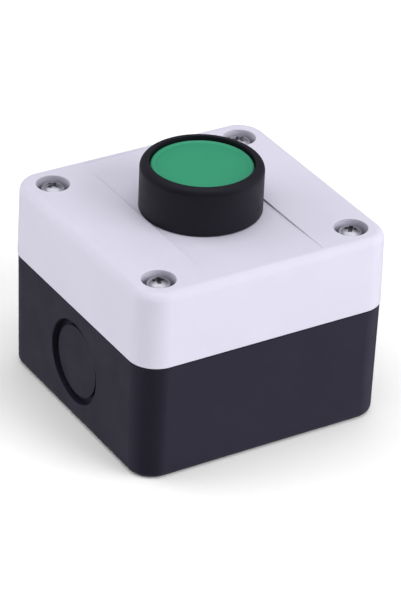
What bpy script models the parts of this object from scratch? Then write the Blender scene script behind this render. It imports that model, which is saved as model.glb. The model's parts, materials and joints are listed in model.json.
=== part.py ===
"""Single push button control station: a two-part plastic enclosure with a flush green 22 mm
push button in its cover and one normally open contact block clipped behind the button.

Frame: metres, +Z up. The origin is the centre of the plane that the four feet of the base
stand on. +Z points out of the button. The two cable knockouts face -Y and +Y.
The object is at rest: button up, contact open, terminal screws driven in, latch locked.
"""

import math

import bmesh
import bpy
from mathutils import Matrix

# ---------------------------------------------------------------- driving dimensions (metres)
WIDTH = 0.0680  # cover, along X
LENGTH = 0.0697  # cover, along Y, between the knockout faces
PARTING = 0.0314  # height of the joint between the base and the cover
COVER_TOP = 0.0511
CORNER_RADIUS = 0.0072
WALL = 0.0030
BASE_INSET = 0.0002  # the cover stands this far proud of the base all round
DRAFT = 0.0003  # how far a moulded wall leans in over its height
REST_GAP = 0.0003  # between two pieces that rest on one another
FIT_GAP = 0.0001  # round a piece that slides in its guide, or is riveted to another

# cover
COVER_EDGE_ROUND = 0.0022
PANEL_UNDERSIDE = 0.0481
RECESS_X = 0.0313  # half size of the shallow legend recess
RECESS_Y = 0.0154
RECESS_FLOOR = 0.0507
RECESS_FLAT_X = 0.0160  # the recess is level to here, then its floor rises
RECESS_END_FLOOR = 0.05104
PANEL_HOLE_RADIUS = 0.0112

# cover screws, at the four corners
SCREW_X = 0.02575
SCREW_Y = 0.02675
SCREW_SEAT = 0.0462
COUNTERBORE_RADIUS = 0.0042
SCREW_HEAD_RADIUS = 0.0029
SCREW_HEAD_TOP = 0.0509
SCREW_SHANK_RADIUS = 0.0019
SCREW_TIP = 0.0155

# base
FLOOR_TOP = 0.0030
BASE_EDGE_ROUND = 0.0018
FOOT_HEIGHT = 0.00055
FOOT_START_X = 0.0235  # the feet reach from here to the corners
FOOT_START_Y = 0.0173
POST_RADIUS = 0.0045
KNOCKOUT_HEIGHT = 0.0160
KNOCKOUT_RADIUS = 0.0109
KNOCKOUT_DEPTH = 0.0010  # the break-out disc lies this far in from the top of the wall
KNOCKOUT_GROOVE = 0.0016  # width of the groove round the disc
KNOCKOUT_WEB = 0.0007  # what the groove leaves of the wall
MOUNT_HOLE_Y = 0.0270  # the two wall fixing holes are 54 mm apart
MOUNT_HOLE_RADIUS = 0.00215

# sealing groove between cover and base, as distances in from the outside of the cover
GROOVE_OUT = 0.00090
GROOVE_IN = 0.00230
GROOVE_TOP = 0.0339
TONGUE_TOP = 0.03225

# button head
COLLAR_RADIUS = 0.0152
COLLAR_BASE = 0.0509
COLLAR_TOP = 0.0633
COLLAR_ROUND = 0.0019
CUP_RADIUS = 0.0129
CUP_FLOOR = 0.0532
SLEEVE_RADIUS = 0.0109
SLEEVE_BASE = 0.0332
SLEEVE_BORE = 0.0090
THREAD_PITCH = 0.0015
THREAD_DEPTH = 0.00055
THREAD_TOP = 0.0474
CAP_RADIUS = 0.0126
CAP_TOP = 0.06235
CAP_SKIRT = 0.0584
CAP_UNDERSIDE = 0.0612
STEM_RADIUS = 0.0060
STEM_PISTON_RADIUS = 0.0089
STEM_FOOT = 0.0354
SEAL_SEAT_RADIUS = 0.0078
SEAL_SEAT = 0.0514
GASKET_SEAT = 0.0522

# mounting collar and latch, under the button head
HOLDER_X = 0.0150
HOLDER_Y = 0.0210
HOLDER_BASE = 0.0310
HOLDER_FLOOR = 0.0329
HOLDER_TOP = 0.0359
HOLDER_BORE = 0.01115
HOLDER_RING_RADIUS = 0.0143
LATCH_TOP = 0.0386
LATCH_LEVER_ANGLE = math.radians(165)

# contact block, beside the centre line as one of two possible blocks
BLOCK_X = 0.0054
BLOCK_HALF_WIDTH = 0.0050
BLOCK_HALF_LENGTH = 0.0200
BLOCK_BASE = 0.0080
BLOCK_TOP = 0.0308
SIDE_COVER_THICKNESS = 0.00115
MECHANISM_FLOOR = 0.0110
MECHANISM_TOP = 0.0280
MECHANISM_Y = 0.0072
CARRIER_BASE = 0.0156
CARRIER_SILL = 0.0178
CARRIER_WINDOW_TOP = 0.0240
BRIDGE_BASE = 0.0179
BRIDGE_TOP = 0.0187
CONTACT_Y = 0.0053
STRIP_BASE = 0.0132
STRIP_TOP = 0.0140
TIP_RADIUS = 0.0011
TIP_HEIGHT = 0.0006
TERMINAL_Y = 0.0139
TERMINAL_BLOCK_TOP = 0.0152

ROUND_SEGMENTS = 40
INNER_SEGMENTS = 32
SMALL_SEGMENTS = 16
CORNER_SEGMENTS = 5


# ---------------------------------------------------------------- scene and helpers
def clear_scene():
    for obj in list(bpy.data.objects):
        bpy.data.objects.remove(obj, do_unlink=True)
    for collection in list(bpy.data.collections):
        bpy.data.collections.remove(collection)


def new_collection(name, helper=False):
    collection = bpy.data.collections.new(name)
    bpy.context.scene.collection.children.link(collection)
    collection.hide_render = helper
    return collection


clear_scene()
PARTS = new_collection("push_button_station")
CUTTERS = new_collection("cutters", helper=True)


def material(name, colour, roughness, metallic=0.0):
    made = bpy.data.materials.new(name)
    made.use_nodes = True
    shader = made.node_tree.nodes["Principled BSDF"]
    shader.inputs["Base Color"].default_value = (*colour, 1.0)
    shader.inputs["Roughness"].default_value = roughness
    shader.inputs["Metallic"].default_value = metallic
    made.diffuse_color = (*colour, 1.0)
    return made


WHITE_PLASTIC = material("white_plastic", (0.76, 0.75, 0.83), 0.45)
BLACK_PLASTIC = material("black_plastic", (0.035, 0.034, 0.050), 0.50)
HEAD_PLASTIC = material("head_plastic", (0.016, 0.015, 0.020), 0.42)
GREEN_PLASTIC = material("green_plastic", (0.045, 0.34, 0.19), 0.38)
GREY_PLASTIC = material("grey_plastic", (0.35, 0.36, 0.38), 0.50)
YELLOW_PLASTIC = material("yellow_plastic", (0.78, 0.50, 0.05), 0.45)
RUBBER = material("rubber", (0.020, 0.020, 0.022), 0.80)
STEEL = material("steel", (0.62, 0.62, 0.64), 0.30, 1.0)
BRASS = material("brass", (0.74, 0.55, 0.25), 0.30, 1.0)
SILVER = material("silver", (0.85, 0.85, 0.86), 0.25, 1.0)


def smooth(mesh):
    mesh.shade_smooth()
    mesh.set_sharp_from_angle(angle=math.radians(35))


def add_object(name, data, finish=None):
    """A piece when it has a finish, and a hidden helper when it has none."""
    obj = bpy.data.objects.new(name, data)
    if finish is None:
        CUTTERS.objects.link(obj)
        obj.hide_render = True
        obj.display_type = "WIRE"
    else:
        PARTS.objects.link(obj)
        data.materials.append(finish)
    return obj


def object_of(name, bm, finish=None):
    mesh = bpy.data.meshes.new(name)
    bmesh.ops.recalc_face_normals(bm, faces=bm.faces)
    bm.to_mesh(mesh)
    bm.free()
    smooth(mesh)
    return add_object(name, mesh, finish)


def add_box(bm, x, y, z):
    """A box between the low and high values given for each axis."""
    size = [high - low for low, high in (x, y, z)]
    centre = [(high + low) / 2 for low, high in (x, y, z)]
    place = Matrix.Translation(centre) @ Matrix.Diagonal((*size, 1.0))
    bmesh.ops.create_cube(bm, size=1.0, matrix=place)


def add_cylinder(bm, radius, z, at=(0.0, 0.0), segments=SMALL_SEGMENTS):
    place = Matrix.Translation((at[0], at[1], (z[0] + z[1]) / 2))
    bmesh.ops.create_cone(
        bm, cap_ends=True, segments=segments, radius1=radius, radius2=radius,
        depth=z[1] - z[0], matrix=place,
    )


def box(name, x, y, z, finish=None):
    bm = bmesh.new()
    add_box(bm, x, y, z)
    return object_of(name, bm, finish)


def cylinder(name, radius, z, at=(0.0, 0.0), finish=None, segments=SMALL_SEGMENTS):
    bm = bmesh.new()
    add_cylinder(bm, radius, z, at, segments)
    return object_of(name, bm, finish)


def at_corners(name, radius, z):
    """One round pillar at each cover screw, in one helper."""
    bm = bmesh.new()
    for x in (-SCREW_X, SCREW_X):
        for y in (-SCREW_Y, SCREW_Y):
            add_cylinder(bm, radius, z, (x, y))
    return object_of(name, bm)


def rounded_block(
    name, inset, z, finish=None, low_lean=0.0, high_lean=0.0, low_round=0.0, high_round=0.0
):
    """A block with the enclosure's outline moved in by inset. Its low or high end can lean in
    further, and its low or high rim can be rounded."""
    bm = bmesh.new()
    half_x = WIDTH / 2 - inset
    half_y = LENGTH / 2 - inset
    add_box(bm, (-half_x, half_x), (-half_y, half_y), z)
    upright = [e for e in bm.edges if abs(e.verts[0].co.z - e.verts[1].co.z) > 1e-6]
    bmesh.ops.bevel(
        bm, geom=upright, offset=CORNER_RADIUS - inset, segments=CORNER_SEGMENTS,
        profile=0.5, affect="EDGES",
    )
    for lean, level in ((low_lean, z[0]), (high_lean, z[1])):
        for vert in bm.verts:
            if abs(vert.co.z - level) < 1e-6:
                vert.co.x *= 1 - lean / half_x
                vert.co.y *= 1 - lean / half_y
    for radius, level in ((low_round, z[0]), (high_round, z[1])):
        if radius:
            rim = [e for e in bm.edges if all(abs(v.co.z - level) < 1e-6 for v in e.verts)]
            bmesh.ops.bevel(bm, geom=rim, offset=radius, segments=3, profile=0.5, affect="EDGES")
    return object_of(name, bm, finish)


def turned(name, profile, finish=None, segments=INNER_SEGMENTS, closed=True):
    """A solid of revolution about Z. The profile is (radius, height) pairs that run down the
    outer side first; a closed one makes a ring, and an open one starts and ends on the axis."""
    mesh = bpy.data.meshes.new(name)
    count = len(profile)
    edges = [(i, i + 1) for i in range(count - 1)]
    if closed:
        edges.append((count - 1, 0))
    mesh.from_pydata([(radius, 0.0, height) for radius, height in profile], edges, [])
    obj = add_object(name, mesh, finish)
    spin = obj.modifiers.new("turn", "SCREW")
    spin.steps = segments
    spin.render_steps = segments
    spin.use_merge_vertices = True
    spin.merge_threshold = 0.000001
    spin.use_smooth_shade = True
    return obj


def arc(centre, radius, start, end, steps):
    """Points on a circle in the profile plane, with angles in degrees from +radius to +height."""
    points = []
    for i in range(steps + 1):
        angle = math.radians(start + (end - start) * i / steps)
        points.append((centre[0] + radius * math.cos(angle), centre[1] + radius * math.sin(angle)))
    return points


def boolean(obj, other, operation):
    step = obj.modifiers.new(other.name, "BOOLEAN")
    step.operation = operation
    step.solver = "EXACT"
    step.object = other
    return obj


def cut(obj, other):
    return boolean(obj, other, "DIFFERENCE")


def join(obj, other):
    return boolean(obj, other, "UNION")


def baked_mesh(obj, name):
    """The object's mesh with its modifiers applied, for pieces that are repeated."""
    graph = bpy.context.evaluated_depsgraph_get()
    mesh = bpy.data.meshes.new_from_object(obj.evaluated_get(graph), depsgraph=graph)
    mesh.name = name
    smooth(mesh)
    return mesh


def coil(name, radius, wire, z, turns, at, finish):
    """A compression spring: the wire's centre line is a helix with one flat turn at each end."""
    points_per_turn = 12
    low = z[0] + wire / 2
    rise = z[1] - z[0] - wire
    count = round(turns * points_per_turn)
    curve = bpy.data.curves.new(name, "CURVE")
    curve.dimensions = "3D"
    curve.bevel_depth = wire / 2
    curve.bevel_resolution = 2
    curve.use_fill_caps = True
    spline = curve.splines.new("POLY")
    spline.points.add(count)
    for i in range(count + 1):
        turn = i / points_per_turn
        share = min(max((turn - 0.5) / (turns - 1.0), 0.0), 1.0)
        angle = 2 * math.pi * turn
        place = (radius * math.cos(angle), radius * math.sin(angle), low + rise * share)
        spline.points[i].co = (*place, 1.0)
    obj = add_object(name, curve, finish)
    obj.location = (at[0], at[1], 0.0)
    return obj


def flat_ring(name, outer, bore_radius, z, finish):
    """A flat plate with a round bore; outer is a list of (x, y) points round its edge."""
    curve = bpy.data.curves.new(name, "CURVE")
    curve.dimensions = "2D"
    curve.fill_mode = "BOTH"
    curve.extrude = (z[1] - z[0]) / 2
    step = 2 * math.pi / ROUND_SEGMENTS
    bore = [
        (bore_radius * math.cos(i * step), bore_radius * math.sin(i * step))
        for i in range(ROUND_SEGMENTS)
    ]
    for outline in (outer, bore):
        spline = curve.splines.new("POLY")
        spline.use_cyclic_u = True
        spline.points.add(len(outline) - 1)
        for point, (x, y) in zip(spline.points, outline):
            point.co = (x, y, 0.0, 1.0)
    obj = add_object(name, curve, finish)
    obj.location.z = (z[0] + z[1]) / 2
    return obj


def body(name, *objects, at=(0.0, 0.0, 0.0)):
    """An empty on the joint's axis that carries the pieces of one moving body."""
    empty = bpy.data.objects.new(name, None)
    PARTS.objects.link(empty)
    empty.location = at
    bpy.context.view_layer.update()
    for obj in objects:
        obj.parent = empty
        obj.matrix_parent_inverse = empty.matrix_world.inverted()
    return empty


# ---------------------------------------------------------------- enclosure
def seal_ring(name, outer_inset, inner_inset, z, finish=None):
    """A band that follows the enclosure's outline between two insets."""
    ring = rounded_block(name, outer_inset, z, finish)
    reach = 0.001
    inner = rounded_block(name + "_inside", inner_inset, (z[0] - reach, z[1] + reach))
    return cut(ring, inner)


def knockout_pocket(name, side):
    """The round pocket over a break-out disc, with the groove round the disc. side is -1 or +1
    along Y."""
    outside = LENGTH / 2 - BASE_INSET
    groove_floor = WALL - BASE_INSET - KNOCKOUT_WEB
    disc_radius = KNOCKOUT_RADIUS - KNOCKOUT_GROOVE
    reach = 0.002
    profile = [
        (0.0, reach), (KNOCKOUT_RADIUS, reach), (KNOCKOUT_RADIUS, -groove_floor),
        (disc_radius, -groove_floor), (disc_radius, -KNOCKOUT_DEPTH), (0.0, -KNOCKOUT_DEPTH),
    ]
    pocket = turned(name, profile, segments=28, closed=False)
    pocket.rotation_euler.x = -side * math.pi / 2
    pocket.location = (0.0, side * outside, KNOCKOUT_HEIGHT)
    return pocket


def base_housing():
    base_top = PARTING - REST_GAP
    base = rounded_block(
        "base_housing", BASE_INSET, (0.0, base_top), BLACK_PLASTIC,
        low_lean=DRAFT, low_round=BASE_EDGE_ROUND,
    )
    cut(base, rounded_block("base_cavity", WALL, (FLOOR_TOP, PARTING + 0.002)))

    tongue_out = GROOVE_OUT + REST_GAP
    tongue_in = GROOVE_IN - REST_GAP
    join(base, seal_ring("base_tongue", tongue_out, tongue_in, (PARTING - 0.0005, TONGUE_TOP)))

    post_top = PARTING - 0.0001
    join(base, at_corners("base_posts", POST_RADIUS, (FLOOR_TOP - 0.0005, post_top)))
    rib_top = post_top - 0.0010
    rib_half = 0.0010
    for name, along_x in (("base_ribs_x", True), ("base_ribs_y", False)):
        bm = bmesh.new()
        for sx in (-1, 1):
            for sy in (-1, 1):
                wall_x = WIDTH / 2 - WALL + 0.0005
                wall_y = LENGTH / 2 - WALL + 0.0005
                if along_x:
                    x = sorted((sx * SCREW_X, sx * wall_x))
                    y = (sy * SCREW_Y - rib_half, sy * SCREW_Y + rib_half)
                else:
                    x = (sx * SCREW_X - rib_half, sx * SCREW_X + rib_half)
                    y = sorted((sy * SCREW_Y, sy * wall_y))
                add_box(bm, x, y, (FLOOR_TOP - 0.0006, rib_top))
        join(base, object_of(name, bm))
    pilot_radius = SCREW_SHANK_RADIUS + REST_GAP
    cut(base, at_corners("base_pilot_holes", pilot_radius, (SCREW_TIP - 0.002, PARTING + 0.001)))

    for side in (-1, 1):
        cut(base, knockout_pocket(f"knockout_pocket_{side + 2}", side))
        at = (0.0, side * MOUNT_HOLE_Y)
        rim = (FLOOR_TOP - 0.0005, FLOOR_TOP + 0.0010)
        join(base, cylinder(f"mount_hole_rim_{side + 2}", 0.0042, rim, at))
        through = (-0.001, FLOOR_TOP + 0.002)
        cut(base, cylinder(f"mount_hole_{side + 2}", MOUNT_HOLE_RADIUS, through, at))

    under = (-0.001, FOOT_HEIGHT)
    cut(base, box("foot_gap_x", (-WIDTH, WIDTH), (-FOOT_START_Y, FOOT_START_Y), under))
    cut(base, box("foot_gap_y", (-FOOT_START_X, FOOT_START_X), (-LENGTH, LENGTH), under))
    return base


def legend_recess():
    """The shallow recess round the head, whose floor rises to meet the top at both ends."""
    above = COVER_TOP + 0.001
    section = [
        (-RECESS_X, above), (-RECESS_X, RECESS_END_FLOOR), (-RECESS_FLAT_X, RECESS_FLOOR),
        (RECESS_FLAT_X, RECESS_FLOOR), (RECESS_X, RECESS_END_FLOOR), (RECESS_X, above),
    ]
    bm = bmesh.new()
    ends = [[bm.verts.new((x, y, z)) for x, z in section] for y in (-RECESS_Y, RECESS_Y)]
    for end in ends:
        bm.faces.new(end)
    for i in range(len(section)):
        j = (i + 1) % len(section)
        bm.faces.new((ends[0][i], ends[0][j], ends[1][j], ends[1][i]))
    return object_of("legend_recess", bm)


def cover():
    lid = rounded_block(
        "cover", 0.0, (PARTING, COVER_TOP), WHITE_PLASTIC,
        high_lean=DRAFT, high_round=COVER_EDGE_ROUND,
    )
    cavity = rounded_block("cover_cavity", WALL, (PARTING - 0.002, PANEL_UNDERSIDE), high_lean=DRAFT)
    cut(lid, cavity)

    seat_thickness = 0.0030
    boss = (SCREW_SEAT - seat_thickness, PANEL_UNDERSIDE + 0.0010)
    join(lid, at_corners("cover_bosses", COUNTERBORE_RADIUS + 0.0015, boss))
    tube = (PARTING + REST_GAP, boss[0] + 0.0005)
    join(lid, at_corners("cover_screw_tubes", 0.0036, tube))
    cut(lid, at_corners("counterbores", COUNTERBORE_RADIUS, (SCREW_SEAT, COVER_TOP + 0.001)))
    clearance = SCREW_SHANK_RADIUS + REST_GAP
    cut(lid, at_corners("cover_screw_holes", clearance, (PARTING - 0.001, SCREW_SEAT + 0.001)))

    cut(lid, legend_recess())
    panel = (PANEL_UNDERSIDE - 0.001, COVER_TOP + 0.002)
    hole = cylinder("panel_hole", PANEL_HOLE_RADIUS, panel, segments=ROUND_SEGMENTS)
    cut(lid, hole)
    groove = (PARTING - 0.001, GROOVE_TOP)
    cut(lid, seal_ring("gasket_groove", GROOVE_OUT, GROOVE_IN, groove))
    return lid


def cover_gasket():
    z = (TONGUE_TOP + REST_GAP, GROOVE_TOP - REST_GAP)
    return seal_ring("cover_gasket", GROOVE_OUT + REST_GAP, GROOVE_IN - REST_GAP, z, RUBBER)


def cross_recess(name, half_length, half_width, z):
    """Two crossed slots, as one helper for each."""
    return (
        box(name + "_a", (-half_length, half_length), (-half_width, half_width), z),
        box(name + "_b", (-half_width, half_width), (-half_length, half_length), z),
    )


def cover_screws():
    """Four equal pan head screws with a cross recess."""
    head_base = SCREW_SEAT + REST_GAP
    edge_top = SCREW_HEAD_TOP - 0.0013
    profile = [
        (0.0, SCREW_HEAD_TOP), (0.0014, SCREW_HEAD_TOP - 0.00015),
        (0.0023, SCREW_HEAD_TOP - 0.0005), (SCREW_HEAD_RADIUS, edge_top),
        (SCREW_HEAD_RADIUS, head_base), (SCREW_SHANK_RADIUS, head_base),
        (SCREW_SHANK_RADIUS, SCREW_TIP + 0.0010), (0.0012, SCREW_TIP), (0.0, SCREW_TIP),
    ]
    pattern = turned("cover_screw_pattern", profile, segments=24, closed=False)
    for slot in cross_recess("cover_screw_cross", 0.0017, 0.0005, (edge_top - 0.0004, COVER_TOP)):
        cut(pattern, slot)
    mesh = baked_mesh(pattern, "cover_screw")
    mesh.materials.append(STEEL)
    corners = [(x, y) for y in (-SCREW_Y, SCREW_Y) for x in (-SCREW_X, SCREW_X)]
    screws = []
    for number, (x, y) in enumerate(corners, start=1):
        screw = bpy.data.objects.new(f"cover_screw_{number}", mesh)
        PARTS.objects.link(screw)
        screw.location = (x, y, 0.0)
        screws.append(screw)
    return screws


# ---------------------------------------------------------------- button head
def sleeve_thread():
    """The sleeve's outer side with its thread as ridges, from the top down."""
    points = []
    height = THREAD_TOP
    while height - THREAD_PITCH > SLEEVE_BASE + 0.0010:
        points.append((SLEEVE_RADIUS, height))
        points.append((SLEEVE_RADIUS - THREAD_DEPTH, height - THREAD_PITCH / 2))
        height -= THREAD_PITCH
    points.append((SLEEVE_RADIUS, height))
    return points


def head_body():
    """The black collar with its cup for the button, and the threaded sleeve below it."""
    gasket_pocket = 0.0143
    web_base = 0.0490
    guide_radius = STEM_RADIUS + FIT_GAP
    profile = (
        arc((COLLAR_RADIUS - COLLAR_ROUND, COLLAR_TOP - COLLAR_ROUND), COLLAR_ROUND, 90, 0, 5)
        + [
            (COLLAR_RADIUS, COLLAR_BASE), (gasket_pocket, COLLAR_BASE),
            (gasket_pocket, GASKET_SEAT), (SLEEVE_RADIUS, GASKET_SEAT),
        ]
        + sleeve_thread()
        + [
            (SLEEVE_RADIUS, SLEEVE_BASE + 0.0005), (SLEEVE_RADIUS - 0.0005, SLEEVE_BASE),
            (SLEEVE_BORE, SLEEVE_BASE), (SLEEVE_BORE, web_base),
            (guide_radius, web_base), (guide_radius, SEAL_SEAT),
            (SEAL_SEAT_RADIUS, SEAL_SEAT), (SEAL_SEAT_RADIUS, CUP_FLOOR),
            (CUP_RADIUS, CUP_FLOOR), (CUP_RADIUS, COLLAR_TOP - 0.00015),
            (CUP_RADIUS + 0.00015, COLLAR_TOP),
        ]
    )
    return turned("head_body", profile, HEAD_PLASTIC, segments=ROUND_SEGMENTS)


def head_gasket():
    z = (RECESS_FLOOR + REST_GAP, GASKET_SEAT - REST_GAP)
    profile = [(0.0140, z[1]), (0.0140, z[0]), (0.0113, z[0]), (0.0113, z[1])]
    return turned("head_gasket", profile, RUBBER)


def stem_seal():
    """A lip seal round the stem, in its seat in the floor of the cup."""
    low = SEAL_SEAT + REST_GAP
    high = CUP_FLOOR - REST_GAP
    outer = SEAL_SEAT_RADIUS - REST_GAP
    inner = STEM_RADIUS + REST_GAP
    profile = [
        (outer, high), (outer, low), (inner + 0.0004, low), (inner + 0.0006, low + 0.0007),
        (inner, high - 0.0003), (inner + 0.0003, high),
    ]
    return turned("stem_seal", profile, RUBBER)


def spring_seat():
    """The thin washer that keeps the seal down and carries the return spring."""
    low = CUP_FLOOR + REST_GAP
    high = low + 0.0006
    profile = [(0.0105, high), (0.0105, low), (0.0063, low), (0.0063, high)]
    return turned("spring_seat", profile, STEEL)


def return_spring():
    z = (CUP_FLOOR + 2 * REST_GAP + 0.0006, CAP_UNDERSIDE - REST_GAP)
    return coil("return_spring", 0.0082, 0.0007, z, 3.0, (0.0, 0.0), STEEL)


def button_cap():
    edge = 0.0005
    hub_bore = 0.0041
    profile = [
        (0.0, CAP_TOP), (CAP_RADIUS - edge, CAP_TOP), (CAP_RADIUS, CAP_TOP - edge),
        (CAP_RADIUS, CAP_SKIRT), (0.0115, CAP_SKIRT), (0.0115, CAP_UNDERSIDE),
        (0.0062, CAP_UNDERSIDE), (0.0062, CAP_SKIRT + 0.0006), (hub_bore, CAP_SKIRT + 0.0006),
        (hub_bore, CAP_UNDERSIDE), (0.0, CAP_UNDERSIDE),
    ]
    return turned("button_cap", profile, GREEN_PLASTIC, segments=ROUND_SEGMENTS, closed=False)


def button_stem():
    """The plunger: a neck for the cap, a guided shaft and a wide hollow piston."""
    shoulder = 0.0487
    profile = [
        (0.0, CAP_UNDERSIDE - 0.00015), (0.0036, CAP_UNDERSIDE - 0.00015),
        (0.0040, CAP_UNDERSIDE - 0.0006), (0.0040, CAP_SKIRT + 0.0002),
        (STEM_RADIUS, CAP_SKIRT + 0.0002), (STEM_RADIUS, shoulder),
        (STEM_PISTON_RADIUS, shoulder), (STEM_PISTON_RADIUS, STEM_FOOT),
        (0.0050, STEM_FOOT), (0.0050, 0.0460), (0.0030, 0.0460), (0.0030, 0.0570), (0.0, 0.0570),
    ]
    return turned("button_stem", profile, GREY_PLASTIC, closed=False)


def circle_points(radius_at, count):
    """Points round the Z axis, where radius_at gives the radius of point i."""
    step = 2 * math.pi / count
    return [
        (radius_at(i) * math.cos(i * step), radius_at(i) * math.sin(i * step))
        for i in range(count)
    ]


def lock_washer():
    """Toothed washer between the panel and the nut."""
    teeth = 16
    outer = circle_points(lambda i: 0.0140 if i % 2 else 0.0132, 2 * teeth)
    z = (PANEL_UNDERSIDE - REST_GAP - 0.0007, PANEL_UNDERSIDE - REST_GAP)
    return flat_ring("lock_washer", outer, HOLDER_BORE, z, STEEL)


def panel_nut():
    """Round nut with six wrench notches."""
    top = PANEL_UNDERSIDE - 2 * REST_GAP - 0.0007
    low = top - 0.0050
    bore = HOLDER_BORE
    profile = [
        (0.0140, top), (0.0145, top - 0.0006), (0.0145, low + 0.0006), (0.0140, low),
        (bore, low), (bore, top),
    ]
    nut = turned("panel_nut", profile, HEAD_PLASTIC)
    bm = bmesh.new()
    for i in range(6):
        angle = Matrix.Rotation(math.radians(60 * i), 4, "Z")
        notch = Matrix.Translation((0.0148, 0.0, low)) @ Matrix.Diagonal((0.0030, 0.0030, 0.0060, 1.0))
        bmesh.ops.create_cube(bm, size=1.0, matrix=angle @ notch)
    return cut(nut, object_of("nut_notches", bm))


# ---------------------------------------------------------------- mounting collar and latch
def mounting_collar():
    """The plate that carries the contact block, with the ring that takes the sleeve."""
    corner = 0.0030
    bm = bmesh.new()
    add_box(bm, (-HOLDER_X, HOLDER_X), (-HOLDER_Y, HOLDER_Y), (HOLDER_BASE, HOLDER_FLOOR))
    upright = [e for e in bm.edges if abs(e.verts[0].co.z - e.verts[1].co.z) > 1e-6]
    bmesh.ops.bevel(bm, geom=upright, offset=corner, segments=4, profile=0.5, affect="EDGES")
    plate = object_of("mounting_collar", bm, GREY_PLASTIC)

    ring_z = (HOLDER_BASE + 0.0010, HOLDER_TOP)
    join(plate, cylinder("collar_ring", HOLDER_RING_RADIUS, ring_z, segments=ROUND_SEGMENTS))
    lug_half = 0.0025
    lug_outer = 0.0164
    for side in (-1, 1):
        upright_y = sorted((side * (HOLDER_RING_RADIUS - 0.0001), side * lug_outer))
        hook_y = sorted((side * 0.0128, side * lug_outer))
        upright_z = (HOLDER_BASE + 0.0010, LATCH_TOP + 0.0008)
        hook_z = (LATCH_TOP + 0.0001, LATCH_TOP + 0.0014)
        join(plate, box(f"collar_lug_{side + 2}", (-lug_half, lug_half), upright_y, upright_z))
        join(plate, box(f"collar_hook_{side + 2}", (-lug_half, lug_half), hook_y, hook_z))
    bore = (HOLDER_FLOOR, HOLDER_TOP + 0.0001)
    cut(plate, cylinder("collar_bore", HOLDER_BORE, bore, segments=ROUND_SEGMENTS))
    window = (HOLDER_BASE - 0.001, HOLDER_FLOOR + 0.001)
    cut(plate, cylinder("collar_window", SLEEVE_BORE + 0.0003, window, segments=ROUND_SEGMENTS))
    return plate


def collar_latch():
    """The ring that locks the collar to the sleeve, turned by its lever."""
    low = HOLDER_TOP + REST_GAP
    outer = 0.0139
    profile = [(outer, LATCH_TOP), (outer, low), (HOLDER_BORE, low), (HOLDER_BORE, LATCH_TOP)]
    ring = turned("collar_latch", profile, YELLOW_PLASTIC)
    lever = box("latch_lever", (0.0132, 0.0200), (-0.0018, 0.0018), (low, LATCH_TOP))
    grip = box("latch_grip", (0.0186, 0.0200), (-0.0018, 0.0018), (low + 0.0002, LATCH_TOP + 0.0024))
    join(ring, lever)
    join(ring, grip)
    for piece in (ring, lever, grip):
        piece.rotation_euler.z = LATCH_LEVER_ANGLE
    return ring


# ---------------------------------------------------------------- contact block
BLOCK_LEFT = BLOCK_X - BLOCK_HALF_WIDTH
BLOCK_RIGHT = BLOCK_X + BLOCK_HALF_WIDTH
HOUSING_LEFT = BLOCK_LEFT + SIDE_COVER_THICKNESS + REST_GAP
OPEN_SIDE = HOUSING_LEFT - 0.001  # where the cutters start, outside the open face
POCKET_RIGHT = BLOCK_RIGHT - 0.0014


def mirrored_y(side, near, far):
    """The low and high Y of a feature that lies between two distances from the centre."""
    return sorted((side * near, side * far))


def block_housing():
    housing = box(
        "block_housing", (HOUSING_LEFT, BLOCK_RIGHT), (-BLOCK_HALF_LENGTH, BLOCK_HALF_LENGTH),
        (BLOCK_BASE, BLOCK_TOP), BLACK_PLASTIC,
    )
    pocket_x = (OPEN_SIDE, POCKET_RIGHT)
    pocket_z = (MECHANISM_FLOOR, MECHANISM_TOP)
    cut(housing, box("mechanism_pocket", pocket_x, (-MECHANISM_Y, MECHANISM_Y), pocket_z))
    slot_x = (BLOCK_X - 0.0026, BLOCK_X + 0.0026)
    slot_z = (MECHANISM_TOP - 0.001, BLOCK_TOP + 0.001)
    cut(housing, box("carrier_slot", slot_x, (-0.0032, 0.0032), slot_z))
    spring_well = (MECHANISM_FLOOR - 0.0018, MECHANISM_FLOOR + 0.001)
    cut(housing, cylinder("spring_well", 0.00175, spring_well, (BLOCK_X, 0.0)))
    hook_x = (BLOCK_X - 0.0020, BLOCK_X + 0.0020)
    for side in (-1, 1):
        tag = side + 2
        terminal = mirrored_y(side, 0.0096, 0.0184)
        cut(housing, box(f"terminal_pocket_{tag}", pocket_x, terminal, (BLOCK_BASE - 0.001, 0.0160)))
        strip = mirrored_y(side, MECHANISM_Y - 0.001, 0.0106)
        strip_x = (OPEN_SIDE, BLOCK_X + 0.0015)
        cut(housing, box(f"strip_slot_{tag}", strip_x, strip, (STRIP_BASE - 0.0002, STRIP_TOP + 0.0002)))
        entry = mirrored_y(side, 0.0174, BLOCK_HALF_LENGTH + 0.001)
        entry_x = (BLOCK_X - 0.0023, BLOCK_X + 0.0023)
        cut(housing, box(f"wire_entry_{tag}", entry_x, entry, (0.0094, STRIP_BASE)))

        arm_root = mirrored_y(side, BLOCK_HALF_LENGTH - 0.0005, 0.0226)
        arm = mirrored_y(side, HOLDER_Y + 0.00015, 0.0226)
        hook = mirrored_y(side, HOLDER_Y - 0.0008, 0.0226)
        hook_low = HOLDER_FLOOR + 0.0001
        join(housing, box(f"clip_root_{tag}", hook_x, arm_root, (0.0255, 0.0280)))
        join(housing, box(f"clip_arm_{tag}", hook_x, arm, (0.0260, hook_low + 0.0010)))
        join(housing, box(f"clip_hook_{tag}", hook_x, hook, (hook_low, hook_low + 0.0014)))
    return housing


def block_side_cover():
    plate = box(
        "block_side_cover", (BLOCK_LEFT, BLOCK_LEFT + SIDE_COVER_THICKNESS),
        (-BLOCK_HALF_LENGTH, BLOCK_HALF_LENGTH), (BLOCK_BASE, BLOCK_TOP), BLACK_PLASTIC,
    )
    rounded = plate.modifiers.new("edges", "BEVEL")
    rounded.width = 0.0003
    rounded.segments = 2
    return plate


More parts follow.
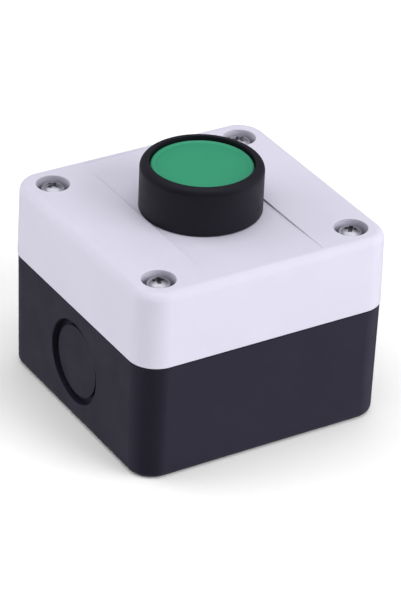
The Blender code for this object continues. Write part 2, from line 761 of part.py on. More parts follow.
def contact_carrier():
    """The sliding plunger, with a window for the contact bridge."""
    top = STEM_FOOT - REST_GAP
    carrier = box(
        "contact_carrier", (BLOCK_X - 0.0025, BLOCK_X + 0.0025), (-0.0031, 0.0031),
        (CARRIER_BASE, top), GREEN_PLASTIC,
    )
    window_x = (BLOCK_X - 0.0015, BLOCK_X + 0.0015)
    cut(carrier, box("carrier_window", window_x, (-0.005, 0.005), (CARRIER_SILL, CARRIER_WINDOW_TOP)))
    well = (CARRIER_BASE - 0.001, CARRIER_BASE + 0.0014)
    return cut(carrier, cylinder("carrier_well", 0.0016, well, (BLOCK_X, 0.0)))


def contact_bridge():
    bridge = box(
        "contact_bridge", (BLOCK_X - 0.0013, BLOCK_X + 0.0013), (-0.0066, 0.0066),
        (BRIDGE_BASE, BRIDGE_TOP), BRASS,
    )
    stud = cylinder("bridge_stud", 0.00075, (BRIDGE_TOP - 0.0002, BRIDGE_TOP + 0.0006), (BLOCK_X, 0.0))
    return join(bridge, stud)


def contact_tip(name, side, z):
    at = (BLOCK_X, side * CONTACT_Y)
    return cylinder(name, TIP_RADIUS, z, at, SILVER)


def fixed_contact(name, side):
    """A brass strip from under the bridge to the threaded block of its terminal."""
    strip = box(
        name, (BLOCK_X - 0.0013, BLOCK_X + 0.0013), mirrored_y(side, 0.0039, 0.0110),
        (STRIP_BASE, STRIP_TOP), BRASS,
    )
    nut = mirrored_y(side, 0.0100, 0.0180)
    nut_z = (STRIP_BASE, TERMINAL_BLOCK_TOP)
    join(strip, box(name + "_nut", (BLOCK_X - 0.0028, BLOCK_X + 0.0028), nut, nut_z))
    thread = (STRIP_BASE - 0.001, TERMINAL_BLOCK_TOP + 0.001)
    return cut(strip, cylinder(name + "_thread", 0.0015, thread, (BLOCK_X, side * TERMINAL_Y)))


def terminal_clamp(name, side):
    """The pressure plate under the terminal screw's head, with its two edges turned up."""
    low = 0.01075
    centre = side * TERMINAL_Y
    along = (centre - 0.0031, centre + 0.0031)
    plate = box(name, (BLOCK_X - 0.0027, BLOCK_X + 0.0027), along, (low, low + 0.0007), STEEL)
    for sign in (-1, 1):
        lip_x = sorted((BLOCK_X + sign * 0.0021, BLOCK_X + sign * 0.0027))
        lip_z = (low + 0.0001, low + 0.0013)
        join(plate, box(f"{name}_lip_{sign + 2}", lip_x, along, lip_z))
    hole = cylinder(name + "_hole", 0.00155, (low - 0.001, low + 0.002), (BLOCK_X, centre))
    return cut(plate, hole)


def terminal_screw_mesh():
    """A cheese head screw whose head faces down, about its own axis."""
    head_top = 0.0107
    head_base = 0.0087
    tip = 0.0158
    profile = [
        (0.0, tip), (0.0010, tip), (0.00145, tip - 0.0005), (0.00145, head_top),
        (0.0027, head_top), (0.0027, head_base + 0.0003), (0.0024, head_base), (0.0, head_base),
    ]
    pattern = turned("terminal_screw_pattern", profile, segments=20, closed=False)
    for slot in cross_recess("terminal_cross", 0.0016, 0.0004, (head_base - 0.001, head_base + 0.0011)):
        cut(pattern, slot)
    mesh = baked_mesh(pattern, "terminal_screw")
    mesh.materials.append(STEEL)
    return mesh


# ---------------------------------------------------------------- assembly
def build_contact_block():
    block_housing()
    block_side_cover()
    carrier = contact_carrier()
    spring_base = MECHANISM_FLOOR - 0.0018 + REST_GAP
    spring_top = CARRIER_BASE + 0.0014 - REST_GAP
    coil("carrier_spring", 0.0011, 0.0004, (spring_base, spring_top), 5.0, (BLOCK_X, 0.0), STEEL)
    over_z = (BRIDGE_TOP + REST_GAP, CARRIER_WINDOW_TOP - REST_GAP)
    over_spring = coil("bridge_spring", 0.0011, 0.0004, over_z, 4.0, (BLOCK_X, 0.0), STEEL)

    bridge = contact_bridge()
    bridge_tip_z = (BRIDGE_BASE - FIT_GAP - TIP_HEIGHT, BRIDGE_BASE - FIT_GAP)
    fixed_tip_z = (STRIP_TOP + FIT_GAP, STRIP_TOP + FIT_GAP + TIP_HEIGHT)
    screw_mesh = terminal_screw_mesh()
    bridge_tips = []
    for number, side in ((1, -1), (2, 1)):
        bridge_tips.append(contact_tip(f"bridge_tip_{number}", side, bridge_tip_z))
        contact_tip(f"fixed_tip_{number}", side, fixed_tip_z)
        fixed_contact(f"fixed_contact_{number}", side)
        axis = (BLOCK_X, side * TERMINAL_Y, 0.0)
        clamp = terminal_clamp(f"terminal_clamp_{number}", side)
        screw = bpy.data.objects.new(f"terminal_screw_{number}", screw_mesh)
        PARTS.objects.link(screw)
        screw.location = axis
        body(f"terminal_{number}_axis", clamp, screw, at=axis)
    body("carrier_axis", carrier, over_spring, at=(BLOCK_X, 0.0, 0.0))
    body("bridge_axis", bridge, *bridge_tips, at=(BLOCK_X, 0.0, 0.0))


def build():
    base_housing()
    cover()
    cover_gasket()
    cover_screws()

    head_body()
    head_gasket()
    stem_seal()
    spring_seat()
    return_spring()
    lock_washer()
    panel_nut()
    body("button_axis", button_cap(), button_stem())

    mounting_collar()
    body("latch_axis", collar_latch())
    build_contact_block()


build()
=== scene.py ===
"""Looks of the push button station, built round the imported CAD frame.

Fine meshes stand for the pieces whose curves show: the cover, the base, the button head, the cap,
the screws, the turned inner pieces and the springs. The other CAD nodes stay, with soft edges.
Every material is procedural. Metres, +Z up; the knockouts face -Y and +Y.
"""

import json
import math

import bmesh
import bpy
from mathutils import Matrix, Vector


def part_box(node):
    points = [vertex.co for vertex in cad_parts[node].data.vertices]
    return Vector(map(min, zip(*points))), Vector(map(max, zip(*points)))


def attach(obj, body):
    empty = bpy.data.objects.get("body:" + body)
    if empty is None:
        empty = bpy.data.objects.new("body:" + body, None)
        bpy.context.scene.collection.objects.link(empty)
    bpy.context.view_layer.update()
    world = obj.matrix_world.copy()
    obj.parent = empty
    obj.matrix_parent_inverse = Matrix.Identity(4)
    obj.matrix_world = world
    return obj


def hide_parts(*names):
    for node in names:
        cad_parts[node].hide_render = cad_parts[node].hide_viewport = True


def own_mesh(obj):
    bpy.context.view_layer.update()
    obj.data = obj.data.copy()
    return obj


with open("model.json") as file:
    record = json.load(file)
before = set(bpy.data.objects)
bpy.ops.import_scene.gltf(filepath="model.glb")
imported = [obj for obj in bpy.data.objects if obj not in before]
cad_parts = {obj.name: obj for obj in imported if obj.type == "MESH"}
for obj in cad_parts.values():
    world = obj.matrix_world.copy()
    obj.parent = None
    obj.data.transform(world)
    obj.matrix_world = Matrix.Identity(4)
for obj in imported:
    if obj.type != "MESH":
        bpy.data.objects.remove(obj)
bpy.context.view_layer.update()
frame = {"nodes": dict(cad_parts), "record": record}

# ---------------------------------------------------------------- places, from the CAD
COVER_LOW, COVER_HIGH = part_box("cover")
HALF_X, HALF_Y = COVER_HIGH.x, COVER_HIGH.y
PARTING, COVER_TOP = COVER_LOW.z, COVER_HIGH.z
TONGUE_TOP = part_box("base_housing")[1].z
HEAD_LOW, HEAD_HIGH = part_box("head_body")
CAP_LOW, CAP_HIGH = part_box("button_cap")
SCREW_LOW, SCREW_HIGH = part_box("cover_screw_4")
SCREW_X = (SCREW_LOW.x + SCREW_HIGH.x) / 2
SCREW_Y = (SCREW_LOW.y + SCREW_HIGH.y) / 2
BLOCK_X = (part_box("contact_carrier")[0].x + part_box("contact_carrier")[1].x) / 2

# ---------------------------------------------------------------- dimensions
REST_GAP = 0.0003
CORNER_RADIUS = 0.0072
WALL = 0.0030
DRAFT = 0.0003
BASE_INSET = 0.0002
BASE_TOP = PARTING - REST_GAP
GROOVE_OUT = 0.0009
GROOVE_IN = 0.0023
GROOVE_TOP = 0.0339
PANEL_UNDERSIDE = 0.0481
COVER_EDGE_ROUND = 0.0022
RECESS_X = 0.0313
RECESS_Y = 0.0154
RECESS_FLOOR = 0.0507
RECESS_FLAT_X = 0.0160
RECESS_END_FLOOR = 0.05104
PANEL_HOLE_RADIUS = 0.0112
SCREW_SEAT = 0.0462
COUNTERBORE_RADIUS = 0.0042
FLOOR_TOP = 0.0030
BASE_EDGE_ROUND = 0.0018
FOOT_HEIGHT = 0.00055
FOOT_START_X = 0.0235
FOOT_START_Y = 0.0173
POST_RADIUS = 0.0045
PILOT_RADIUS = 0.0022
SCREW_TIP = 0.0155
SCREW_TURNS = (24.0, 67.0, 8.0, 51.0)  # degrees; each screw stopped at its own angle
CROSS_DEPTH = 0.0016
CROSS_HALF_LENGTH = 0.0017
CROSS_HALF_WIDTH = 0.00050
KNOCKOUT_HEIGHT = 0.0160
KNOCKOUT_RADIUS = 0.0109
KNOCKOUT_DEPTH = 0.0010
KNOCKOUT_GROOVE = 0.0016
KNOCKOUT_WEB = 0.0007
MOUNT_HOLE_Y = 0.0270
MOUNT_HOLE_RADIUS = 0.00215
COLLAR_ROUND = 0.0019
CUP_RADIUS = 0.0129
SLEEVE_RADIUS = 0.0109
SLEEVE_BORE = 0.0090

CORNER_STEPS = 18
ROUND_STEPS = 9
HOLE_SEGMENTS = 56
HEAD_SEGMENTS = 144
INNER_RING_SEGMENTS = 112
SCREW_SEGMENTS = 48
TUBE_SEGMENTS = 60
SEAM = 1e-7  # points closer than this are one point
WALL_MATCH = 1e-6  # a point this near to a thread's radius lies on its wall
CLEAR = 0.001  # how far a cutter reaches past the surface that it opens
OVERLAP = 0.0005  # how far a joined rib, post or tube runs into its neighbour


# ---------------------------------------------------------------- mesh helpers
def made(name, bm):
    bmesh.ops.recalc_face_normals(bm, faces=bm.faces)
    mesh = bpy.data.meshes.new(name)
    bm.to_mesh(mesh)
    bm.free()
    obj = bpy.data.objects.new(name, mesh)
    bpy.context.scene.collection.objects.link(obj)
    return obj


def combined(obj, operation, *tools):
    """Applies exact Booleans with the tools in turn, welds the seams and removes the tools."""
    for tool in tools:
        step = obj.modifiers.new(tool.name, "BOOLEAN")
        step.operation = operation
        step.solver = "EXACT"
        step.object = tool
    graph = bpy.context.evaluated_depsgraph_get()
    mesh = bpy.data.meshes.new_from_object(obj.evaluated_get(graph), depsgraph=graph)
    obj.modifiers.clear()
    bm = bmesh.new()
    bm.from_mesh(mesh)
    bmesh.ops.remove_doubles(bm, verts=bm.verts, dist=SEAM)
    bmesh.ops.dissolve_degenerate(bm, edges=bm.edges, dist=SEAM)
    bm.to_mesh(mesh)
    bm.free()
    old = obj.data
    obj.data = mesh
    bpy.data.meshes.remove(old)
    for tool in tools:
        bpy.data.objects.remove(tool, do_unlink=True)
    return obj


def arc(centre, radius, start, end, steps):
    """Points on a circle in the profile plane, with angles in degrees from +radius to +height."""
    points = []
    for i in range(steps + 1):
        angle = math.radians(start + (end - start) * i / steps)
        across, up = radius * math.cos(angle), radius * math.sin(angle)
        points.append((centre[0] + across, centre[1] + up))
    return points


def cove(radius):
    """The round of a hollow corner, as (distance from the wall, distance from the flat)."""
    near, far = 0.134 * radius, 0.5 * radius  # 1 - cos 30 and 1 - cos 60 degrees
    return [(radius, 0.0), (far, near), (near, far), (0.0, radius)]


def outline(inset, z):
    """The enclosure's rounded outline, moved in by inset."""
    points = []
    for quarter, (sx, sy) in enumerate(((1, -1), (1, 1), (-1, 1), (-1, -1))):
        centre_x = sx * (HALF_X - CORNER_RADIUS)
        centre_y = sy * (HALF_Y - CORNER_RADIUS)
        for step in range(CORNER_STEPS + 1):
            angle = math.radians(90 * (quarter - 1 + step / CORNER_STEPS))
            x = centre_x + (CORNER_RADIUS - inset) * math.cos(angle)
            y = centre_y + (CORNER_RADIUS - inset) * math.sin(angle)
            points.append((x, y, z))
    return points


def bridged(name, rows):
    """A closed solid through rows of points, one outline after the other."""
    bm = bmesh.new()
    rings = [[bm.verts.new(point) for point in row] for row in rows]
    count = len(rings[0])
    for low, high in zip(rings, rings[1:]):
        for i in range(count):
            j = (i + 1) % count
            bm.faces.new((low[i], low[j], high[j], high[i]))
    bm.faces.new(rings[0])
    bm.faces.new(rings[-1])
    return made(name, bm)


def lofted(name, rings):
    """A closed solid through the enclosure's outline at each (inset, height) in turn."""
    return bridged(name, [outline(inset, z) for inset, z in rings])


def spun(profile, segments, closed=True):
    """A solid of revolution about Z from (radius, height) pairs. A closed profile makes a ring,
    and an open one starts and ends on the axis."""
    bm = bmesh.new()
    columns = []
    for i in range(segments):
        turn = 2 * math.pi * i / segments
        column = []
        for k, (radius, z) in enumerate(profile):
            if radius < SEAM and i:
                column.append(columns[0][k])
            else:
                place = (radius * math.cos(turn), radius * math.sin(turn), z)
                column.append(bm.verts.new(place))
        columns.append(column)
    count = len(profile)
    for i in range(segments):
        here, after = columns[i], columns[(i + 1) % segments]
        for k in range(count if closed else count - 1):
            m = (k + 1) % count
            corners = []
            for vert in (here[k], after[k], after[m], here[m]):
                if vert not in corners:
                    corners.append(vert)
            if len(corners) > 2:
                bm.faces.new(corners)
    return bm


def turned(name, profile, segments, closed=True, at=(0.0, 0.0)):
    bm = spun(profile, segments, closed)
    bmesh.ops.translate(bm, verts=bm.verts, vec=(at[0], at[1], 0.0))
    return made(name, bm)


def pillar(name, radius, low, high, at, segments=HOLE_SEGMENTS):
    profile = [(0.0, low), (radius, low), (radius, high), (0.0, high)]
    return turned(name, profile, segments, False, at)


def flared(radius, low, surface, edge):
    """The profile of a hole cutter whose rim, at the surface, leaves a rounded edge."""
    rim = arc((radius + edge, surface - edge), edge, 180, 90, 4)
    top = surface + CLEAR
    return [(0.0, low), (radius, low)] + rim + [(radius + edge, top), (0.0, top)]


def four_corners(make):
    """What make(number, place) gives at each cover screw."""
    places = [(sx * SCREW_X, sy * SCREW_Y) for sy in (-1, 1) for sx in (-1, 1)]
    return [make(number, place) for number, place in enumerate(places, start=1)]


def block(name, x, y, z):
    """A box between the low and high values given for each axis."""
    bm = bmesh.new()
    size = [high - low for low, high in (x, y, z)]
    centre = [(high + low) / 2 for low, high in (x, y, z)]
    place = Matrix.Translation(centre) @ Matrix.Diagonal((*size, 1.0))
    bmesh.ops.create_cube(bm, size=1.0, matrix=place)
    return made(name, bm)


def cut_thread(bm, radius, low, high, pitch, depth):
    """Presses a helical thread into the wall at this radius, run out at both ends."""
    for vert in bm.verts:
        x, y, z = vert.co
        if abs(math.hypot(x, y) - radius) > WALL_MATCH or not low < z < high:
            continue
        phase = (z / pitch - math.atan2(y, x) / (2 * math.pi)) % 1.0
        share = 1.0 - abs(2.0 * phase - 1.0)
        share *= min(1.0, (z - low) / pitch, (high - z) / pitch)
        scale = 1.0 - depth * share / radius
        vert.co.x *= scale
        vert.co.y *= scale


def levels(high, low, step):
    """Heights from high down to low, about a step apart."""
    count = max(1, round((high - low) / step))
    return [high + (low - high) * i / count for i in range(count + 1)]


# ---------------------------------------------------------------- materials
class Look:
    """A Principled material built up from nodes that read the object's own coordinates."""

    def __init__(self, name):
        self.material = bpy.data.materials.new(name)
        self.material.use_nodes = True
        self.tree = self.material.node_tree
        self.shader = self.tree.nodes["Principled BSDF"]
        self.place = self.add("ShaderNodeTexCoord").outputs["Object"]

    def add(self, kind, **values):
        made_node = self.tree.nodes.new(kind)
        for key, value in values.items():
            setattr(made_node, key, value)
        return made_node

    def plug(self, source, target):
        if isinstance(source, bpy.types.NodeSocket):
            self.tree.links.new(source, target)
        else:
            target.default_value = source

    def noise(self, scale, detail=2.0, stretch=None):
        """Noise whose features are about 1 / scale metres long."""
        place = self.place
        if stretch:
            mapping = self.add("ShaderNodeMapping")
            mapping.inputs["Scale"].default_value = stretch
            self.plug(place, mapping.inputs["Vector"])
            place = mapping.outputs["Vector"]
        texture = self.add("ShaderNodeTexNoise")
        self.plug(place, texture.inputs["Vector"])
        texture.inputs["Scale"].default_value = scale
        texture.inputs["Detail"].default_value = detail
        return texture.outputs["Fac"]

    def spread(self, value, low, high, to_low, to_high):
        node = self.add("ShaderNodeMapRange")
        for name, number in (
            ("Value", value), ("From Min", low), ("From Max", high),
            ("To Min", to_low), ("To Max", to_high),
        ):
            self.plug(number, node.inputs[name])
        return node.outputs["Result"]

    def sum(self, first, second, operation="ADD"):
        node = self.add("ShaderNodeMath", operation=operation)
        self.plug(first, node.inputs[0])
        self.plug(second, node.inputs[1])
        return node.outputs["Value"]

    def mix(self, share, first, second):
        node = self.add("ShaderNodeMix", data_type="RGBA")
        self.plug(share, node.inputs[0])
        for number, colour in ((6, first), (7, second)):
            if not isinstance(colour, bpy.types.NodeSocket):
                colour = (*colour, 1.0)
            self.plug(colour, node.inputs[number])
        return node.outputs[2]

    def edges(self, radius):
        """1 on edges and 0 on flats, from how far a rounded normal leans away; for wear and
        painted highlights.
        """
        low, high = 0.015, 0.20
        bevel = self.add("ShaderNodeBevel", samples=4)
        bevel.inputs["Radius"].default_value = radius
        normal = self.add("ShaderNodeNewGeometry").outputs["Normal"]
        dot = self.add("ShaderNodeVectorMath", operation="DOT_PRODUCT")
        self.plug(bevel.outputs["Normal"], dot.inputs[0])
        self.plug(normal, dot.inputs[1])
        lean = self.sum(1.0, dot.outputs["Value"], "SUBTRACT")
        return self.spread(lean, low, high, 0.0, 1.0)

    def openness(self, reach):
        """0 in tight corners and 1 in the open, judged within this reach."""
        node = self.add("ShaderNodeAmbientOcclusion", samples=6)
        node.inputs["Distance"].default_value = reach
        return node.outputs["AO"]

    def bump(self, height, distance, strength, under=None):
        node = self.add("ShaderNodeBump")
        node.inputs["Strength"].default_value = strength
        node.inputs["Distance"].default_value = distance
        self.plug(height, node.inputs["Height"])
        if under is not None:
            self.plug(under, node.inputs["Normal"])
        return node.outputs["Normal"]

    def finish(self, colour, roughness, normal, **inputs):
        self.plug(colour, self.shader.inputs["Base Color"])
        self.plug(roughness, self.shader.inputs["Roughness"])
        self.plug(normal, self.shader.inputs["Normal"])
        for name, value in inputs.items():
            self.plug(value, self.shader.inputs[name.replace("_", " ")])
        return self.material


def shaded(colour, factor):
    return tuple(channel * factor for channel in colour)


def moulded_plastic(
    name, colour, roughness, worn_and_highlight, specular, grain=0.000006, tint=(1, 1, 1), rub_and_highlight_width=0.0003,
    rub_and_highlight_share=0.55, cavity_shade=0.0,
):
    """Injection moulded plastic: a fine spark-eroded grain, faint flow marks, rubbed edges that
    can also hold a painted highlight, and painted shade that darkens deep corners."""
    look = Look(name)
    flow = look.noise(38.0, 3.0)
    cloud = look.noise(160.0, 4.0)
    fine = look.noise(2400.0, 2.0)
    pits = look.noise(900.0, 1.0)
    marks = look.spread(flow, 0.35, 0.65, 0.0, 1.0)
    tone = look.mix(marks, shaded(colour, 0.975), shaded(colour, 1.02))
    tone = look.mix(look.spread(fine, 0.3, 0.7, 0.0, 0.35), tone, shaded(colour, 0.93))
    # rubbed edges lighten the tone; where the rub is wide, as on the cap's rim, the lighter band
    # is also a painted highlight
    rub_and_highlight = look.sum(look.edges(rub_and_highlight_width), look.spread(cloud, 0.42, 0.62, 0.15, 1.0), "MULTIPLY")
    tone = look.mix(look.sum(rub_and_highlight, rub_and_highlight_share, "MULTIPLY"), tone, worn_and_highlight)
    # painted shade: the tone darkens towards near black where little light gets in, as in the
    # counterbores
    if cavity_shade:
        depth = look.spread(look.openness(0.004), 0.12, 0.50, cavity_shade, 0.0)
        tone = look.mix(depth, tone, shaded(colour, 0.22))
    rough = look.sum(
        look.spread(cloud, 0.3, 0.7, roughness - 0.04, roughness + 0.05),
        look.spread(rub_and_highlight, 0.0, 1.0, 0.0, -0.12),
    )
    ground = look.bump(pits, grain * 2.5, 0.5)
    surface = look.bump(fine, grain, 0.8, ground)
    return look.finish(
        tone, rough, surface, Specular_IOR_Level=specular, Specular_Tint=(*tint, 1.0),
    )


def plated_steel(name, colour, roughness):
    """Zinc plated steel: bright, with a cloudy finish, fine scratches and rubbed edges."""
    look = Look(name)
    cloud = look.noise(420.0, 4.0)
    scratch = look.noise(1500.0, 2.0, (1.0, 0.06, 0.3))
    haze = look.spread(cloud, 0.3, 0.7, 0.0, 1.0)
    tone = look.mix(haze, shaded(colour, 0.82), shaded(colour, 1.05))
    tone = look.mix(look.sum(look.edges(0.0002), 0.6, "MULTIPLY"), tone, (0.88, 0.88, 0.90))
    rough = look.sum(
        look.spread(cloud, 0.3, 0.7, roughness - 0.05, roughness + 0.08),
        look.spread(scratch, 0.35, 0.65, -0.04, 0.06),
    )
    surface = look.bump(scratch, 0.000004, 0.6)
    return look.finish(tone, rough, surface, Metallic=1.0)


def drawn_metal(name, colour, dark, roughness):
    """Stamped strip: brushed along its length, with a little tarnish."""
    look = Look(name)
    tarnish = look.noise(300.0, 5.0)
    lines = look.noise(2600.0, 2.0, (1.0, 0.05, 1.0))
    tone = look.mix(look.spread(tarnish, 0.45, 0.7, 0.0, 0.8), colour, dark)
    tone = look.mix(look.sum(look.edges(0.0002), 0.5, "MULTIPLY"), tone, shaded(colour, 1.15))
    rough = look.sum(
        look.spread(tarnish, 0.3, 0.7, roughness, roughness + 0.14),
        look.spread(lines, 0.35, 0.65, -0.03, 0.05),
    )
    return look.finish(tone, rough, look.bump(lines, 0.000004, 0.6), Metallic=1.0)


def soft_rubber(name, colour):
    """Matt moulded rubber with a dusty bloom."""
    look = Look(name)
    bloom = look.noise(500.0, 5.0)
    fine = look.noise(3200.0, 2.0)
    tone = look.mix(look.spread(bloom, 0.45, 0.75, 0.0, 0.7), colour, shaded(colour, 2.2))
    tone = look.mix(look.sum(look.edges(0.0002), 0.35, "MULTIPLY"), tone, shaded(colour, 3.0))
    rough = look.spread(bloom, 0.3, 0.7, 0.72, 0.9)
    return look.finish(tone, rough, look.bump(fine, 0.000010, 0.8), Specular_IOR_Level=0.35)


LOOKS = {
    # its last argument paints shade into deep corners, such as the counterbores and the legend
    # recess line
    "white_plastic": moulded_plastic(
        "white_plastic", (0.615, 0.600, 0.708), roughness=0.46, worn_and_highlight=(0.68, 0.67, 0.78),
        specular=0.32, grain=0.000004, cavity_shade=0.8,
    ),
    "black_plastic": moulded_plastic(
        "black_plastic", (0.0140, 0.0130, 0.0225), roughness=0.47, worn_and_highlight=(0.055, 0.053, 0.070),
        specular=0.52, tint=(0.75, 0.72, 1.0),
    ),
    "head_plastic": moulded_plastic(
        "head_plastic", (0.0090, 0.0084, 0.0115), roughness=0.50, worn_and_highlight=(0.026, 0.025, 0.031),
        specular=0.24, grain=0.000005, tint=(0.86, 0.84, 1.0),
    ),
    # the cap's wide, strong rub paints a highlight along its rim as well as wear
    "green_plastic": moulded_plastic(
        "green_plastic", (0.0255, 0.268, 0.142), roughness=0.40, worn_and_highlight=(0.125, 0.300, 0.215),
        specular=0.38, grain=0.000004, rub_and_highlight_width=0.0009, rub_and_highlight_share=0.85,
    ),
    "grey_plastic": moulded_plastic(
        "grey_plastic", (0.30, 0.31, 0.33), roughness=0.48, worn_and_highlight=(0.42, 0.43, 0.45), specular=0.40,
    ),
    "yellow_plastic": moulded_plastic(
        "yellow_plastic", (0.70, 0.42, 0.03), roughness=0.42, worn_and_highlight=(0.85, 0.62, 0.18),
        specular=0.45,
    ),
    "seal_rubber": soft_rubber("seal_rubber", (0.018, 0.018, 0.020)),
    "steel": plated_steel("steel", (0.66, 0.66, 0.68), roughness=0.24),
    "brass": drawn_metal("brass", (0.72, 0.52, 0.22), dark=(0.42, 0.28, 0.12), roughness=0.28),
    "silver": drawn_metal("silver", (0.84, 0.84, 0.85), dark=(0.50, 0.48, 0.44), roughness=0.22),
}


def dressed(obj, slot):
    """Gives a new piece its material, and smooth shading that stops at its corners."""
    obj.data.materials.clear()
    obj.data.materials.append(LOOKS[slot])
    obj.data.shade_smooth()
    obj.data.set_sharp_from_angle(angle=math.radians(32))
    return obj


def even_flats(obj):
    weighted = obj.modifiers.new("even_flats", "WEIGHTED_NORMAL")
    weighted.keep_sharp = True
    weighted.weight = 100
    return obj


def piece(obj, node, body, slot):
    """A finished new piece that stands for one CAD node."""
    dressed(obj, slot)
    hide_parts(node)
    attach(obj, body)
    return obj


# ---------------------------------------------------------------- enclosure
def cover():
    lip = 0.00025
    draft_start = 0.0008
    ceiling_round = 0.0012
    inside = WALL + DRAFT
    rings = [(inside + away, PANEL_UNDERSIDE - down) for away, down in cove(ceiling_round)]
    rings += [
        (WALL, PARTING), (GROOVE_IN, PARTING), (GROOVE_IN, GROOVE_TOP), (GROOVE_OUT, GROOVE_TOP),
        (GROOVE_OUT, PARTING),
    ]
    rings += [(inset, PARTING + z) for inset, z in arc((lip, lip), lip, 270, 180, 3)]
    rings += [(0.0, PARTING + draft_start)]
    shoulder = (DRAFT + COVER_EDGE_ROUND, COVER_TOP - COVER_EDGE_ROUND)
    rings += arc(shoulder, COVER_EDGE_ROUND, 180, 90, ROUND_STEPS)
    lid = lofted("cover_shell", rings)

    boss_radius, boss_depth = COUNTERBORE_RADIUS + 0.0015, 0.0030
    tube_radius = 0.0036
    boss_low, boss_high = SCREW_SEAT - boss_depth, PANEL_UNDERSIDE + 2 * OVERLAP
    bosses = four_corners(lambda n, at: pillar(
        f"boss_{n}", boss_radius, boss_low, boss_high, at))
    tubes = four_corners(lambda n, at: pillar(
        f"tube_{n}", tube_radius, PARTING + REST_GAP, boss_low + OVERLAP, at, TUBE_SEGMENTS))
    combined(lid, "UNION", *bosses, *tubes)

    bore_segments, bore_rim, panel_rim = 64, 0.00022, 0.00015
    bore = flared(COUNTERBORE_RADIUS, SCREW_SEAT, COVER_TOP, bore_rim)
    bores = four_corners(lambda n, at: turned(f"bore_{n}", bore, bore_segments, False, at))
    holes = four_corners(lambda n, at: pillar(
        f"hole_{n}", PILOT_RADIUS, PARTING - CLEAR, SCREW_SEAT + CLEAR, at))
    opening = flared(PANEL_HOLE_RADIUS, PANEL_UNDERSIDE - CLEAR, RECESS_FLOOR, panel_rim)
    panel_hole = turned("panel_hole", opening, HEAD_SEGMENTS, False)
    return combined(lid, "DIFFERENCE", *bores, *holes, recess_cutter(), panel_hole)


def recess_cutter():
    """The shallow legend recess. Its floor is flat round the head and runs out towards the
    cover's sides, and its rim is softened."""
    rim_round, rim_share = 0.00012, 0.6
    above = COVER_TOP + CLEAR
    levels_in_x = (
        (-RECESS_X, RECESS_END_FLOOR), (-RECESS_FLAT_X, RECESS_FLOOR),
        (RECESS_FLAT_X, RECESS_FLOOR), (RECESS_X, RECESS_END_FLOOR),
    )
    rows = []
    for x, floor in levels_in_x:
        edge = min(rim_round, rim_share * (COVER_TOP - floor))
        rim = arc((RECESS_Y + edge, COVER_TOP - edge), edge, 180, 90, 3)
        half = [(RECESS_Y, floor)] + rim + [(RECESS_Y + edge, above)]
        around = half + [(-y, z) for y, z in reversed(half)]
        rows.append([(x, y, z) for y, z in around])
    return bridged("recess", rows)


def knockout_cutter(side):
    """The round pocket over a break-out disc and the groove round the disc, with softened lips.
    Its height is measured from the top of the wall, which leans in below that."""
    lip, edge, segments = 0.0003, 0.00015, 96
    lean_in = DRAFT * (1 - KNOCKOUT_HEIGHT / BASE_TOP)
    groove_floor = WALL - BASE_INSET - KNOCKOUT_WEB
    disc_radius = KNOCKOUT_RADIUS - KNOCKOUT_GROOVE
    profile = [(0.0, -KNOCKOUT_DEPTH), (disc_radius - edge, -KNOCKOUT_DEPTH)]
    profile += arc((disc_radius - edge, -KNOCKOUT_DEPTH - edge), edge, 90, 0, 3)[1:]
    profile += [(disc_radius, -groove_floor), (KNOCKOUT_RADIUS, -groove_floor)]
    profile += arc((KNOCKOUT_RADIUS + lip, -lean_in - lip), lip, 180, 90, 4)
    profile += [(KNOCKOUT_RADIUS + lip, 2 * CLEAR), (0.0, 2 * CLEAR)]
    pocket = turned(f"knockout_{side + 2}", profile, segments, False)
    tilt = Matrix.Rotation(-side * math.pi / 2, 4, "X")
    place = Matrix.Translation((0.0, side * (HALF_Y - BASE_INSET), KNOCKOUT_HEIGHT))
    pocket.data.transform(place @ tilt)
    return pocket


def base_housing():
    lip = 0.0002
    floor_round = 0.0010
    rings = [(WALL + away, FLOOR_TOP + up) for away, up in cove(floor_round)]
    tongue_in, tongue_out = GROOVE_IN - REST_GAP, GROOVE_OUT + REST_GAP
    rings += [
        (WALL, BASE_TOP), (tongue_in, BASE_TOP), (tongue_in, TONGUE_TOP),
        (tongue_out, TONGUE_TOP), (tongue_out, BASE_TOP),
    ]
    rings += [(BASE_INSET + inset, BASE_TOP - z) for inset, z in arc((lip, lip), lip, 270, 180, 3)]
    heel = (BASE_INSET + DRAFT + BASE_EDGE_ROUND, BASE_EDGE_ROUND)
    rings += arc(heel, BASE_EDGE_ROUND, 180, 270, ROUND_STEPS)
    base = lofted("base_shell", rings)
    combined(base, "UNION", *posts_and_ribs())
    return combined(base, "DIFFERENCE", *base_cutters())


def posts_and_ribs():
    """The screw posts, the ribs that tie each one to its two walls, and the rims of the wall
    fixing holes."""
    post_top = PARTING - 0.0001
    rib_base, rib_top, half_rib = FLOOR_TOP - 0.0006, PARTING - 0.0011, 0.001
    rim_radius, rim_height = 0.0042, 0.001
    posts = four_corners(lambda n, at: pillar(
        f"post_{n}", POST_RADIUS, FLOOR_TOP - OVERLAP, post_top, at))
    ribs = []
    for sx in (-1, 1):
        for sy in (-1, 1):
            wall_x, wall_y = HALF_X - WALL + OVERLAP, HALF_Y - WALL + OVERLAP
            x, y = sx * SCREW_X, sy * SCREW_Y
            across, along = sorted((x, sx * wall_x)), sorted((y, sy * wall_y))
            tag = f"{sx + 2}{sy + 2}"
            ribs.append(block(
                "rib_x" + tag, across, (y - half_rib, y + half_rib), (rib_base, rib_top)))
            ribs.append(block(
                "rib_y" + tag, (x - half_rib, x + half_rib), along, (rib_base, rib_top)))
    rims = [
        pillar(f"rim_{side + 2}", rim_radius, FLOOR_TOP - OVERLAP, FLOOR_TOP + rim_height,
               (0.0, side * MOUNT_HOLE_Y))
        for side in (-1, 1)
    ]
    return posts + ribs + rims


